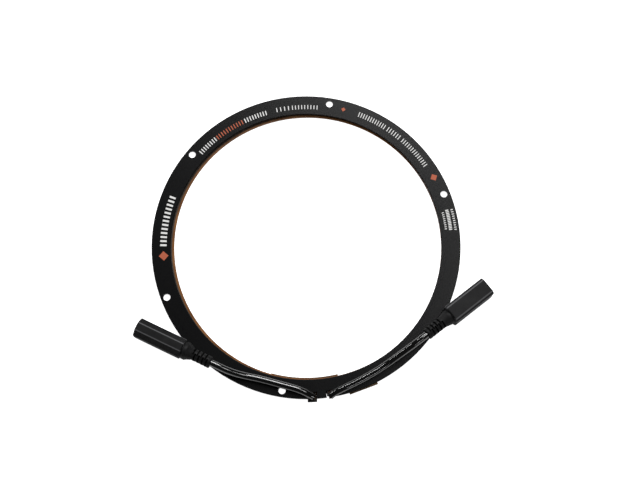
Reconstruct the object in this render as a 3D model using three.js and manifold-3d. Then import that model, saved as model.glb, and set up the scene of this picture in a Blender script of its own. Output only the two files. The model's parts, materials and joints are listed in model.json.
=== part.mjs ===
import * as THREE from 'three';
import { mergeVertices } from 'three/addons/utils/BufferGeometryUtils.js';
import Module from 'manifold-3d';

// Dew heater ring for a small telescope, in millimetres.
// The ring lies flat with its printed face up. The origin is the centre of the ring,
// on the plane that the taped underside rests on, and both leads leave at -Y.

const wasm = await Module();
wasm.setup();

// Aluminium ring
const ringOuterRadius = 72.5;
const ringWidth = 9;
const ringThickness = 2;
const ringEdgeBevel = 0.25;
const ringInnerRadius = ringOuterRadius - ringWidth;
const ringSegments = 112;

// Screw holes
const screwCircleInset = 2.97;
const screwHoleDiameter = 3.4;
const screwCount = 6;
const screwPhase = 20.84;
const screwCircleRadius = ringOuterRadius - screwCircleInset;

// Layers under the ring, from the bottom up: tape, base film, foil, cover film, adhesive
const tapeThickness = 0.12;
const filmThickness = 0.12;
const foilThickness = 0.08;
const adhesiveThickness = 0.12;
const baseFilmBottom = tapeThickness;
const foilBottom = baseFilmBottom + filmThickness;
const coverFilmBottom = foilBottom + foilThickness;
const adhesiveBottom = coverFilmBottom + filmThickness;
const ringBottom = adhesiveBottom + adhesiveThickness;
const ringTop = ringBottom + ringThickness;

// Film heater, which was laid a little off centre and shows inside the ring's bore
const filmOverhang = 0.83;
const filmWidth = 7.5;
const filmOffset = new THREE.Vector2(0.77, -0.26);
const filmScrewClearance = 1.2;
const filmInnerRadius = ringInnerRadius - filmOverhang;
const filmOuterRadius = filmInnerRadius + filmWidth;
const filmNotchRadius = screwHoleDiameter / 2 + filmScrewClearance;
const adhesiveSetback = 1.1;

// Etched foil track, a meander with a pad at each end
const trackWidth = 0.9;
const trackPitch = 7;
const trackEdgeMargin = 0.8;
const padSize = 2.8;
const padSetOut = 3.6;
const padRadius = filmInnerRadius + trackEdgeMargin + padSetOut;
const positivePadAngle = 285;
const negativePadAngle = 278.5;

// Pocket milled in the underside of the ring for the joints and the sensor
const pocketStartAngle = 264;
const pocketEndAngle = 288.5;
const pocketInnerWall = 1.4;
const pocketOuterWall = 2.2;
const pocketDepth = 1.25;

// Notches where the leads go over the edge
const notchWidth = 4.4;
const notchDepth = 3.2;
const thermistorNotchAngle = 272.35;
const powerNotchAngle = 279.4;

// Tape pieces on the underside
const coverTapeStart = 255;
const coverTapeEnd = 283.6;
const coverTapeOverhang = 1.2;
const coverTapeWidth = 7.6;
const thermistorTapeWidth = 4.4;
const thermistorTapeReach = 1.3;
const thermistorTapeLength = 3.6;
const powerTapeAngle = 290.7;
const powerTapeShift = 1.25;
const powerTapeLength = 13.9;
const powerTapeReach = 0.44;
const powerTapeWidth = 3.4;

// General clearances
const seatGap = 0.3;
const cutMargin = 1;

// Leads
const leadDiameter = 3.3;
const leadRadius = leadDiameter / 2;
const leadSides = 8;

// A route point is [angle in degrees, inset from the ring's outer edge, rise above its resting height]
const leadRestHeight = ringTop + seatGap + leadRadius;

// Route of the thermistor lead, from inside its strain relief to the ring's left notch
const thermistorRoute = rimRoute(leadRestHeight, [
  [231.56, 0.88, 2.98],
  [232.19, 1.05, 3.04],
  [235.34, 1.81, 3.04],
  [238.49, 2.47, 2.44],
  [241.38, 3.18, 1.53],
  [244.24, 3.94, 0.69],
  [247.18, 4.69, 0.15],
  [250.34, 5.33, 0],
  [255.54, 5.63, 0],
  [259.97, 5.32, 0],
  [264.42, 4.68, 0],
  [267.4, 3.85, -0.1],
  [269.8, 2.75, -0.5],
  [271.5, 1.7, -1.2],
  [272.7, 1, -1.95]
]);

// Route of the power lead, from inside its strain relief to the ring's right notch
const powerRoute = rimRoute(leadRestHeight, [
  [322.72, 1.57, 4.63],
  [322.05, 1.77, 4.74],
  [319.15, 2.56, 4.89],
  [315.82, 3.34, 4.34],
  [312.9, 3.9, 3.36],
  [309.97, 4.32, 2.24],
  [307.13, 4.58, 1.22],
  [304.31, 4.64, 0.46],
  [301.3, 4.56, 0.06],
  [298.2, 4.36, 0],
  [292.72, 3.88, 0],
  [287.55, 3.17, 0],
  [284.4, 2.55, -0.1],
  [282, 1.9, -0.5],
  [280.15, 1.15, -1.2],
  [279, 0.4, -1.95]
]);

// Strain relief, moulded in one with each connector housing
const bootRadius = 2.8;
const bootLength = 9.4;
const bootSegments = 20;
const slotWidth = 0.85;
const slotPitch = 2.05;
const slotRows = 4;
const slotsPerRow = 4;
const slotAngle = 110;
const slotDepth = 0.95;
const slotMargin = 0.2;
const leadSeatDepth = 1;

// Thermistor connector, an octagonal housing with a jack in its end
const jackAcrossFlats = 9.3;
const jackLength = 24;
const jackCollar = { length: 5, flangeLength: 2.3, radius: 4.3, endRadius: 3 };
const jackNose = 0.45;
const jackHeading = -26.3;
const jackCavityRadius = 3.1;
const jackCavityDepth = 15;
const jackBoreRadius = 1.8;
const jackBushingLength = 3;
const jackInsulatorLength = 9;
const tipContactBore = 1.2;
const tipContactLength = 2;

// Power connector, a bevelled square housing with a coaxial socket in its end
const socketWidth = 9.3;
const socketLength = 22.8;
const socketCollar = { length: 4.5, flangeLength: 1.2, radius: 3.7, endRadius: 2.8 };
const socketCornerBevel = 1.15;
const socketNose = 0.5;
const socketHeading = 218.9;
const socketCavityRadius = 3.5;
const socketCavityDepth = 14;
const socketShellWall = 0.35;
const socketInsulatorLength = 4;
const socketPinRadius = 1.05;
const socketPinRecess = 1.2;

// Sensor, wires and joints in the pocket
const sensorWireRadius = 0.28;
const powerWireRadius = 0.36;
const wireSides = 6;
const beadRadius = 0.5;
const beadLength = 2.2;
const beadFromNotch = 5.25;
const beadInset = 5.25;
const jointRadius = 1;
const jointHeight = 0.6;

const sensorWireRest = coverFilmBottom + filmThickness + seatGap / 2 + sensorWireRadius;
const powerWireRest = coverFilmBottom + filmThickness + seatGap / 2 + powerWireRadius;

// A wire point is [distance along the rim from its notch, inset from the outer edge, rise]
const sensorWireRoutes = {
  thermistor_wire_left: notchRoute(thermistorNotchAngle, sensorWireRest, [
    [1.13, 1.45, 1.5],
    [1.5, 1.5, 1],
    [1.35, 1.7, 0.45],
    [0.6, 2.4, 0.06],
    [-0.6, 3.7, 0],
    [-1.96, 4.6, 0],
    [-3.67, 4.75, 0]
  ]),
  thermistor_wire_right: notchRoute(thermistorNotchAngle, sensorWireRest, [
    [0.52, 0.2, 1.5],
    [1, 0, 1.05],
    [1.35, 0.15, 0.5],
    [1.5, 1, 0.05],
    [1.55, 2.6, 0],
    [1, 4.3, 0],
    [-0.4, 5.5, 0],
    [-2.21, 5.85, 0],
    [-3.67, 5.9, 0]
  ])
};

const powerWireRoutes = {
  power_wire_positive: notchRoute(powerNotchAngle, powerWireRest, [
    [-0.6, -0.36, 1.33],
    [-0.83, -0.43, 0.9],
    [-0.85, -0.2, 0.35],
    [-0.8, 0.8, 0.03],
    [-0.45, 2.3, 0],
    [0.8, 3.6, 0],
    [2.6, 4.3, 0],
    [5.63, 4.7, 0]
  ]),
  power_wire_negative: notchRoute(powerNotchAngle, powerWireRest, [
    [-1.18, 0.72, 1.33],
    [-1.5, 0.76, 0.9],
    [-1.65, 1, 0.4],
    [-1.65, 1.7, 0.08],
    [-1.55, 2.6, 0],
    [-1.28, 3.97, 0]
  ])
};

function radians(degrees) {
  return THREE.MathUtils.degToRad(degrees);
}

// Points around the rim, as [x, y, z]
function rimRoute(restHeight, points) {
  return points.map(([degrees, inset, rise]) => {
    const radius = ringOuterRadius - inset;
    return [radius * Math.cos(radians(degrees)), radius * Math.sin(radians(degrees)), restHeight + rise];
  });
}

// Points near a notch, as [x, y, z]
function notchRoute(notchAngle, restHeight, points) {
  return rimRoute(restHeight, points.map(([along, inset, rise]) => {
    return [notchAngle + THREE.MathUtils.radToDeg(along / ringOuterRadius), inset, rise];
  }));
}

function polar(radius, degrees, centre = new THREE.Vector2(0, 0)) {
  const angle = radians(degrees);
  return new THREE.Vector2(centre.x + radius * Math.cos(angle), centre.y + radius * Math.sin(angle));
}

// A closed mesh as a solid that can be cut and joined
function solid(geometry) {
  const bare = geometry.clone();
  bare.deleteAttribute('normal');
  bare.deleteAttribute('uv');
  const merged = mergeVertices(bare, 1e-4);
  const vertProperties = new Float32Array(merged.attributes.position.array);
  const triVerts = new Uint32Array(merged.index.array);
  return new wasm.Manifold(new wasm.Mesh({ numProp: 3, vertProperties, triVerts }));
}

function geometryOf(manifold) {
  const mesh = manifold.getMesh();
  const geometry = new THREE.BufferGeometry();
  geometry.setAttribute('position', new THREE.BufferAttribute(new Float32Array(mesh.vertProperties), 3));
  geometry.setIndex(new THREE.BufferAttribute(new Uint32Array(mesh.triVerts), 1));
  geometry.computeVertexNormals();
  return geometry;
}

function subtractAll(body, cutters) {
  return cutters.reduce((left, cutter) => left.subtract(cutter), body);
}

function addAll(body, others) {
  return others.reduce((whole, other) => whole.add(other), body);
}

// A flat plate of a shape between two heights
function plate(shape, bottom, thickness, curveSegments = 12) {
  const geometry = new THREE.ExtrudeGeometry(shape, { depth: thickness, bevelEnabled: false, curveSegments });
  return solid(geometry.translate(0, 0, bottom));
}

function annulus(inner, outer, centre) {
  const shape = new THREE.Shape();
  shape.absarc(centre.x, centre.y, outer, 0, Math.PI * 2, false);
  const bore = new THREE.Path();
  bore.absarc(centre.x, centre.y, inner, 0, Math.PI * 2, true);
  shape.holes.push(bore);
  return shape;
}

function annularSector(inner, outer, startDegrees, endDegrees, centre = new THREE.Vector2(0, 0)) {
  const shape = new THREE.Shape();
  shape.absarc(centre.x, centre.y, outer, radians(startDegrees), radians(endDegrees), false);
  shape.absarc(centre.x, centre.y, inner, radians(endDegrees), radians(startDegrees), true);
  shape.closePath();
  return shape;
}

// A rectangle whose long side lies along the radius at an angle
function radialRectangle(innerReach, outerReach, width, degrees, sideShift = 0) {
  const out = polar(1, degrees);
  const side = new THREE.Vector2(-out.y, out.x);
  const corner = (reach, across) => new THREE.Vector2(
    out.x * reach + side.x * (across + sideShift),
    out.y * reach + side.y * (across + sideShift)
  );
  return new THREE.Shape([
    corner(innerReach, -width / 2),
    corner(outerReach, -width / 2),
    corner(outerReach, width / 2),
    corner(innerReach, width / 2)
  ]);
}

function uprightCylinder(radius, bottom, height, x, y, segments = 20) {
  const geometry = new THREE.CylinderGeometry(radius, radius, height, segments);
  geometry.rotateX(Math.PI / 2);
  return solid(geometry.translate(x, y, bottom + height / 2));
}

// A solid turned around the X axis, from a closed profile of [x, radius] points
function turnedAlongX(profile, segments) {
  const points = profile.map(([along, radius]) => new THREE.Vector2(radius, along));
  const geometry = new THREE.LatheGeometry([...points, points[0].clone()], segments);
  return solid(geometry.rotateZ(-Math.PI / 2));
}

function routeCurve(points) {
  return new THREE.CatmullRomCurve3(points.map((point) => new THREE.Vector3(...point)), false, 'centripetal');
}

// A tube along a route, with flat ends
function tube(points, radius, sides, steps) {
  const section = new THREE.Shape(Array.from({ length: sides }, (_, index) => {
    const angle = (index + 0.5) * Math.PI * 2 / sides;
    return new THREE.Vector2(radius * Math.cos(angle), radius * Math.sin(angle));
  }));
  const geometry = new THREE.ExtrudeGeometry(section, { steps, bevelEnabled: false, extrudePath: routeCurve(points) });
  return solid(geometry);
}

function screwPoints(centre = new THREE.Vector2(0, 0)) {
  return Array.from({ length: screwCount }, (_, index) => {
    return polar(screwCircleRadius, screwPhase + index * 360 / screwCount, centre);
  });
}

// The space that the last stretch of a lead needs where it dips through the edge of the ring
function leadChannel(route) {
  const last = new THREE.Vector3(...route[route.length - 1]);
  const before = new THREE.Vector3(...route[route.length - 2]);
  const beyond = last.clone().add(last.clone().sub(before).normalize().multiplyScalar(seatGap));
  const stretch = [...route.slice(-4), beyond.toArray()];
  return tube(stretch, leadRadius + seatGap, 16, 14);
}

function heaterRing() {
  const bevel = ringEdgeBevel;
  const profile = [
    [ringBottom, ringInnerRadius + bevel],
    [ringBottom, ringOuterRadius - bevel],
    [ringBottom + bevel, ringOuterRadius],
    [ringTop - bevel, ringOuterRadius],
    [ringTop, ringOuterRadius - bevel],
    [ringTop, ringInnerRadius + bevel],
    [ringTop - bevel, ringInnerRadius],
    [ringBottom + bevel, ringInnerRadius]
  ];
  const points = profile.map(([height, radius]) => new THREE.Vector2(radius, height));
  const turned = new THREE.LatheGeometry([...points, points[0].clone()], ringSegments);
  const blank = solid(turned.rotateX(Math.PI / 2));
  const depth = ringThickness + 2 * cutMargin;
  const holes = screwPoints().map((point) => {
    return uprightCylinder(screwHoleDiameter / 2, ringBottom - cutMargin, depth, point.x, point.y);
  });
  const notches = [thermistorNotchAngle, powerNotchAngle].map((angle) => {
    const reach = ringOuterRadius + cutMargin;
    const outline = radialRectangle(ringOuterRadius - notchDepth, reach, notchWidth, angle);
    return plate(outline, ringBottom - cutMargin, depth);
  });
  const pocketOutline = annularSector(
    ringInnerRadius + pocketInnerWall, ringOuterRadius - pocketOuterWall, pocketStartAngle, pocketEndAngle
  );
  const pocket = plate(pocketOutline, ringBottom - cutMargin, pocketDepth + cutMargin);
  const channels = [leadChannel(thermistorRoute), leadChannel(powerRoute)];
  return subtractAll(blank, [...holes, ...notches, pocket, ...channels]);
}

// One flat layer of the film heater, open at its outer edge around each screw
function filmLayer(bottom, thickness, setback = 0) {
  const outline = annulus(filmInnerRadius + setback, filmOuterRadius - setback, filmOffset);
  const layer = plate(outline, bottom, thickness, ringSegments / 2);
  const scallops = screwPoints(filmOffset).map((point) => {
    const height = thickness + 2 * cutMargin;
    return uprightCylinder(filmNotchRadius + setback, bottom - cutMargin, height, point.x, point.y, 16);
  });
  return subtractAll(layer, scallops);
}

function adhesiveLayer() {
  const layer = filmLayer(adhesiveBottom, adhesiveThickness, adhesiveSetback);
  const opening = annularSector(
    filmInnerRadius - cutMargin, ringOuterRadius + cutMargin, pocketStartAngle, pocketEndAngle
  );
  return layer.subtract(plate(opening, adhesiveBottom - cutMargin, adhesiveThickness + 2 * cutMargin));
}

function padPoint(angle) {
  return polar(padRadius, angle);
}

function coverFilm() {
  const windows = [positivePadAngle, negativePadAngle].map((angle) => {
    const point = padPoint(angle);
    return uprightCylinder(jointRadius + seatGap, coverFilmBottom - cutMargin, filmThickness + 2 * cutMargin,
      point.x, point.y);
  });
  return subtractAll(filmLayer(coverFilmBottom, filmThickness), windows);
}

// The foil track: a band with slots cut from its two edges in turn, and a pad at each end
function heaterTrack() {
  const inner = filmInnerRadius + trackEdgeMargin;
  const outer = screwCircleRadius - filmNotchRadius - trackEdgeMargin;
  const legHalfAngle = THREE.MathUtils.radToDeg(trackWidth / 2 / inner);
  const span = 360 - (positivePadAngle - negativePadAngle);
  const gaps = Math.floor(span / trackPitch) * 2;
  const step = span / gaps;
  const outerEdge = [polar(outer, positivePadAngle - legHalfAngle, filmOffset)];
  const innerEdge = [polar(inner, positivePadAngle - legHalfAngle, filmOffset)];
  for (let gap = 0; gap < gaps; gap += 1) {
    const from = positivePadAngle + gap * step + legHalfAngle;
    const to = positivePadAngle + (gap + 1) * step - legHalfAngle;
    const opensOutwards = gap % 2 === 0;
    const edge = opensOutwards ? outerEdge : innerEdge;
    const mouth = opensOutwards ? outer : inner;
    const bottom = opensOutwards ? inner + trackWidth : outer - trackWidth;
    edge.push(
      polar(mouth, from, filmOffset),
      polar(bottom, from, filmOffset),
      polar(bottom, to, filmOffset),
      polar(mouth, to, filmOffset)
    );
  }
  outerEdge.push(polar(outer, positivePadAngle + span + legHalfAngle, filmOffset));
  innerEdge.push(polar(inner, positivePadAngle + span + legHalfAngle, filmOffset));
  const strip = plate(new THREE.Shape([...outerEdge, ...innerEdge.reverse()]), foilBottom, foilThickness);
  const half = padSize / 2;
  const pads = [positivePadAngle, negativePadAngle].map((angle) => {
    const outline = radialRectangle(padRadius - half, padRadius + half, padSize, angle);
    return plate(outline, foilBottom, foilThickness);
  });
  return addAll(strip, pads);
}

function coverTape() {
  const inner = ringInnerRadius - coverTapeOverhang;
  const outline = annularSector(inner, inner + coverTapeWidth, coverTapeStart, coverTapeEnd);
  const screws = screwPoints().map((point) => {
    return uprightCylinder(filmNotchRadius, -cutMargin, tapeThickness + 2 * cutMargin, point.x, point.y, 16);
  });
  return subtractAll(plate(outline, 0, tapeThickness, 8), screws);
}

function thermistorTape() {
  const outer = ringOuterRadius + thermistorTapeReach;
  return plate(radialRectangle(outer - thermistorTapeLength, outer, thermistorTapeWidth, thermistorNotchAngle),
    0, tapeThickness);
}

function powerTape() {
  const outer = ringOuterRadius + powerTapeReach;
  return plate(radialRectangle(outer - powerTapeWidth, outer, powerTapeLength, powerTapeAngle, powerTapeShift),
    0, tapeThickness);
}

// Collar and slotted strain relief from x = start, with the bore that takes the lead
function strainRelief(start, collar) {
  const bootStart = start + collar.length;
  const bootEnd = bootStart + bootLength;
  const profile = [
    [start - cutMargin, 0],
    [start - cutMargin, collar.radius],
    [start + collar.flangeLength, collar.radius],
    [bootStart, collar.endRadius],
    [bootStart, bootRadius],
    [bootEnd, bootRadius],
    [bootEnd, 0]
  ];
  const body = turnedAlongX(profile, bootSegments);
  const slots = [];
  for (let row = 0; row < slotRows; row += 1) {
    const middle = 45 + row * 360 / slotRows;
    const rowStart = bootStart + slotMargin + ((row + 1) % 2) * slotPitch / 2;
    for (let index = 0; index < slotsPerRow; index += 1) {
      const sector = annularSector(
        bootRadius - slotDepth, bootRadius + cutMargin, middle - slotAngle / 2, middle + slotAngle / 2
      );
      const cutter = new THREE.ExtrudeGeometry(sector, { depth: slotWidth, bevelEnabled: false, curveSegments: 3 });
      cutter.rotateY(Math.PI / 2);
      slots.push(solid(cutter.translate(rowStart + index * slotPitch, 0, 0)));
    }
  }
  return subtractAll(body, slots);
}

function leadBore(bodyLength, collar) {
  const boreEnd = bodyLength + collar.length + bootLength;
  const profile = [
    [boreEnd - leadSeatDepth, 0],
    [boreEnd - leadSeatDepth, leadRadius + seatGap],
    [boreEnd + cutMargin, leadRadius + seatGap],
    [boreEnd + cutMargin, 0]
  ];
  return turnedAlongX(profile, bootSegments);
}

function cavity(radius, depth) {
  return turnedAlongX([[-cutMargin, 0], [-cutMargin, radius], [depth, radius], [depth, 0]], bootSegments);
}

// A straight housing of a given outline across the axis, with bevelled ends
function housing(outline, length, bevel) {
  const geometry = new THREE.ExtrudeGeometry(outline, {
    depth: length - 2 * bevel,
    bevelEnabled: true,
    bevelThickness: bevel,
    bevelSize: bevel,
    bevelOffset: -bevel,
    bevelSegments: 1
  });
  geometry.translate(0, 0, bevel);
  return solid(geometry.rotateY(Math.PI / 2));
}

function octagon(acrossFlats) {
  const cornerRadius = acrossFlats / 2 / Math.cos(Math.PI / 8);
  return new THREE.Shape(Array.from({ length: 8 }, (_, index) => {
    const angle = (index + 0.5) * Math.PI / 4;
    return new THREE.Vector2(cornerRadius * Math.cos(angle), cornerRadius * Math.sin(angle));
  }));
}

function bevelledSquare(width, bevel) {
  const half = width / 2;
  const inset = half - bevel;
  return new THREE.Shape([
    new THREE.Vector2(inset, -half),
    new THREE.Vector2(half, -inset),
    new THREE.Vector2(half, inset),
    new THREE.Vector2(inset, half),
    new THREE.Vector2(-inset, half),
    new THREE.Vector2(-half, inset),
    new THREE.Vector2(-half, -inset),
    new THREE.Vector2(-inset, -half)
  ]);
}

// A tube along X with a bore, for contacts and insulators
function sleeve(start, length, inner, outer) {
  return turnedAlongX(
    [[start, inner], [start, outer], [start + length, outer], [start + length, inner]], bootSegments
  );
}

function jackBody() {
  const whole = housing(octagon(jackAcrossFlats), jackLength, jackNose).add(strainRelief(jackLength, jackCollar));
  return subtractAll(whole, [cavity(jackCavityRadius, jackCavityDepth), leadBore(jackLength, jackCollar)]);
}

function jackPieces() {
  const outer = jackCavityRadius - seatGap;
  const insulatorStart = jackBushingLength + seatGap;
  const contactStart = insulatorStart + jackInsulatorLength + seatGap;
  return {
    jack_sleeve_bushing: sleeve(0, jackBushingLength, jackBoreRadius, outer),
    jack_insulator: sleeve(insulatorStart, jackInsulatorLength, jackBoreRadius, outer),
    jack_tip_contact: sleeve(contactStart, tipContactLength, tipContactBore, outer)
  };
}

function socketBody() {
  const outline = bevelledSquare(socketWidth, socketCornerBevel);
  const whole = housing(outline, socketLength, socketNose).add(strainRelief(socketLength, socketCollar));
  return subtractAll(whole, [cavity(socketCavityRadius, socketCavityDepth), leadBore(socketLength, socketCollar)]);
}

function socketPieces() {
  const shellOuter = socketCavityRadius - seatGap;
  const shellInner = shellOuter - socketShellWall;
  const shellLength = socketCavityDepth - seatGap;
  const plugOuter = shellInner - seatGap;
  const plugStart = shellLength - socketInsulatorLength;
  const plugBore = socketPinRadius + seatGap;
  const pin = [
    [socketPinRecess, 0],
    [socketPinRecess, socketPinRadius * 0.7],
    [socketPinRecess + 0.5, socketPinRadius],
    [shellLength, socketPinRadius],
    [shellLength, 0]
  ];
  return {
    socket_shell: sleeve(seatGap, shellLength - seatGap, shellInner, shellOuter),
    socket_insulator: sleeve(plugStart, socketInsulatorLength, plugBore, plugOuter),
    socket_pin: turnedAlongX(pin, bootSegments)
  };
}

// Places a connector with the seat of its lead at a point, its far lower edge on the resting plane
function connectorGroup(pieces, seat, bodyLength, collar, halfHeight, heading) {
  const group = new THREE.Group();
  const seatX = bodyLength + collar.length + bootLength - leadSeatDepth + seatGap;
  const reach = Math.hypot(seatX, halfHeight);
  const tilt = Math.asin(seat[2] / reach) - Math.atan2(halfHeight, seatX);
  const turn = new THREE.Matrix4().makeRotationZ(radians(heading));
  turn.multiply(new THREE.Matrix4().makeRotationY(-tilt));
  const toSeat = new THREE.Vector3(seatX, 0, 0).applyMatrix4(turn);
  group.position.set(seat[0] - toSeat.x, seat[1] - toSeat.y, seat[2] - toSeat.z);
  group.quaternion.setFromRotationMatrix(turn);
  pieces.forEach((piece) => group.add(piece));
  return group;
}

function bead() {
  const angle = thermistorNotchAngle - THREE.MathUtils.radToDeg(beadFromNotch / ringOuterRadius);
  const centre = polar(ringOuterRadius - beadInset, angle);
  const height = adhesiveBottom + seatGap / 2 + beadRadius;
  const geometry = new THREE.CapsuleGeometry(beadRadius, beadLength - 2 * beadRadius, 4, 12);
  geometry.rotateZ(Math.PI / 2);
  return solid(geometry.translate(centre.x, centre.y, height));
}

function joint(angle) {
  const rows = 4;
  const profile = Array.from({ length: rows + 1 }, (_, index) => {
    const angleUp = index / rows * Math.PI / 2;
    return new THREE.Vector2(jointRadius * Math.cos(angleUp), jointHeight * Math.sin(angleUp));
  });
  profile[rows].x = 0;
  const geometry = new THREE.LatheGeometry([new THREE.Vector2(0, 0), ...profile], 16);
  geometry.rotateX(Math.PI / 2);
  const point = padPoint(angle);
  return solid(geometry.translate(point.x, point.y, coverFilmBottom));
}

function finish(color, roughness, metalness = 0) {
  return new THREE.MeshStandardMaterial({ color, roughness, metalness });
}

const finishes = {
  anodised: finish('#1f1f21', 0.42, 0.6),
  adhesive: finish('#48413a', 0.8),
  polyimide: finish('#8a5a22', 0.35),
  foil: finish('#9c8f7c', 0.35, 1),
  tape: finish('#a8752c', 0.3),
  darkTape: finish('#2c1c10', 0.45),
  rubber: finish('#2a2a2b', 0.6),
  pvc: finish('#0c0c0d', 0.18),
  contact: finish('#c9c5b8', 0.25, 1),
  insulator: finish('#17171a', 0.4),
  epoxy: finish('#14110e', 0.25),
  solder: finish('#b5b5b8', 0.35, 1),
  redWire: finish('#9c1a16', 0.35),
  blackWire: finish('#111112', 0.35),
  clearWire: finish('#c8b890', 0.35)
};

function named(name, manifold, material) {
  const mesh = new THREE.Mesh(geometryOf(manifold), material);
  mesh.name = name;
  return mesh;
}

const object = new THREE.Group();
object.add(
  named('heater_ring', heaterRing(), finishes.anodised),
  named('mounting_adhesive', adhesiveLayer(), finishes.adhesive),
  named('heater_cover_film', coverFilm(), finishes.polyimide),
  named('heater_track', heaterTrack(), finishes.foil),
  named('heater_base_film', filmLayer(baseFilmBottom, filmThickness), finishes.polyimide),
  named('terminal_cover_tape', coverTape(), finishes.tape),
  named('thermistor_tape', thermistorTape(), finishes.darkTape),
  named('power_tape', powerTape(), finishes.tape),
  named('thermistor_bead', bead(), finishes.epoxy),
  named('solder_joint_positive', joint(positivePadAngle), finishes.solder),
  named('solder_joint_negative', joint(negativePadAngle), finishes.solder),
  named('thermistor_lead', tube(thermistorRoute, leadRadius, leadSides, 30), finishes.pvc),
  named('power_lead', tube(powerRoute, leadRadius, leadSides, 32), finishes.pvc)
);

for (const [name, route] of Object.entries(sensorWireRoutes)) {
  object.add(named(name, tube(route, sensorWireRadius, wireSides, 12), finishes.clearWire));
}

for (const [name, route] of Object.entries(powerWireRoutes)) {
  const color = name.endsWith('positive') ? finishes.redWire : finishes.blackWire;
  object.add(named(name, tube(route, powerWireRadius, wireSides, 12), color));
}

const jack = [named('thermistor_jack', jackBody(), finishes.rubber)];
for (const [name, piece] of Object.entries(jackPieces())) {
  const isMetal = name !== 'jack_insulator';
  jack.push(named(name, piece, isMetal ? finishes.contact : finishes.insulator));
}
object.add(connectorGroup(jack, thermistorRoute[0], jackLength, jackCollar, jackAcrossFlats / 2, jackHeading));

const socket = [named('power_socket', socketBody(), finishes.rubber)];
for (const [name, piece] of Object.entries(socketPieces())) {
  const isMetal = name !== 'socket_insulator';
  socket.push(named(name, piece, isMetal ? finishes.contact : finishes.insulator));
}
object.add(connectorGroup(socket, powerRoute[0], socketLength, socketCollar, socketWidth / 2, socketHeading));

export default object;
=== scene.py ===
import json
from math import asin, atan2, cos, degrees, hypot, pi, radians, sin

import bmesh
import bpy
from mathutils import Matrix, Vector

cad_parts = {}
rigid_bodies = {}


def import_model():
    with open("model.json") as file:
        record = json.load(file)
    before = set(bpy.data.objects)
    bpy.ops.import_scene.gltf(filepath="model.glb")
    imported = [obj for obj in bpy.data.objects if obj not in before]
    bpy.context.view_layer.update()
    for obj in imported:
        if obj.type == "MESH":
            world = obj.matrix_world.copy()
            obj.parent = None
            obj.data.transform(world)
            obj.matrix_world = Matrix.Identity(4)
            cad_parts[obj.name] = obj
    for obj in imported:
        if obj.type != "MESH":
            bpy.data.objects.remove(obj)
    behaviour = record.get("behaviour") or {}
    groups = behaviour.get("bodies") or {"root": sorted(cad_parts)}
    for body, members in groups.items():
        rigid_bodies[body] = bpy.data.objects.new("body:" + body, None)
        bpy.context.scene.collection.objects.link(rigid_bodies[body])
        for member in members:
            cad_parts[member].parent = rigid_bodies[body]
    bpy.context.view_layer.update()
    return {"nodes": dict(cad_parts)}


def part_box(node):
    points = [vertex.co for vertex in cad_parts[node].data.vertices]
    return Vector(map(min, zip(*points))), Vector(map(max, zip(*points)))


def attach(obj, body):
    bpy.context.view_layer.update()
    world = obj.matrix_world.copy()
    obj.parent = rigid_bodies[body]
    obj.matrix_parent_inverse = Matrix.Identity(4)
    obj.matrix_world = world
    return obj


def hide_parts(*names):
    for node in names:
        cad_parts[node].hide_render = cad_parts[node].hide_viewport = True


bl_info = {
    "name": "Dew Heater Ring",
    "version": (1, 0, 0),
    "blender": (4, 5, 0),
    "location": "3D View > Sidebar > Dew Ring",
    "description": "Dresses a telescope dew heater ring with leads, connectors, film and marks",
    "category": "Add Mesh",
}

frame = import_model()

MM = 0.001
RING_NODE = "heater_ring"
RING_LOW, RING_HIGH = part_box(RING_NODE)
RING_RADIUS = (RING_HIGH[0] - RING_LOW[0]) / 2
RING_TOP = RING_HIGH[2]

# How the leads and wires lie on what is under them
LEAD_SEAT_DEPTH = 1 * MM
LEAD_SEAT_GAP = 0.3 * MM
FILM_TOP = 0.44 * MM
WIRE_GAP = 0.15 * MM

# Inner wires, of which this share of the radius is drawn
SENSOR_WIRE_RADIUS = 0.28 * MM
POWER_WIRE_RADIUS = 0.36 * MM
WIRE_SHARE = 0.97
WIRE_STEPS = 6

# Routes around the rim: angle in degrees, inset from the ring's outer edge in mm, rise in mm
SENSOR_LEAD_ROUTE = (
    (231.56, 0.88, 2.98), (232.19, 1.05, 3.04), (235.34, 1.81, 3.04), (238.49, 2.47, 2.44),
    (241.38, 3.18, 1.53), (244.24, 3.94, 0.69), (247.18, 4.69, 0.15), (250.34, 5.33, 0),
    (255.54, 5.63, 0), (259.97, 5.32, 0), (264.42, 4.68, 0), (267.4, 3.85, -0.1),
    (269.8, 2.75, -0.5), (271.5, 1.7, -1.2), (272.7, 1, -1.95),
)
POWER_LEAD_ROUTE = (
    (322.72, 1.57, 4.63), (322.05, 1.77, 4.74), (319.15, 2.56, 4.89), (315.82, 3.34, 4.34),
    (312.9, 3.9, 3.36), (309.97, 4.32, 2.24), (307.13, 4.58, 1.22), (304.31, 4.64, 0.46),
    (301.3, 4.56, 0.06), (298.2, 4.36, 0), (292.72, 3.88, 0), (287.55, 3.17, 0),
    (284.4, 2.55, -0.1), (282, 1.9, -0.5), (280.15, 1.15, -1.2), (279, 0.4, -1.95),
)

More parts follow.
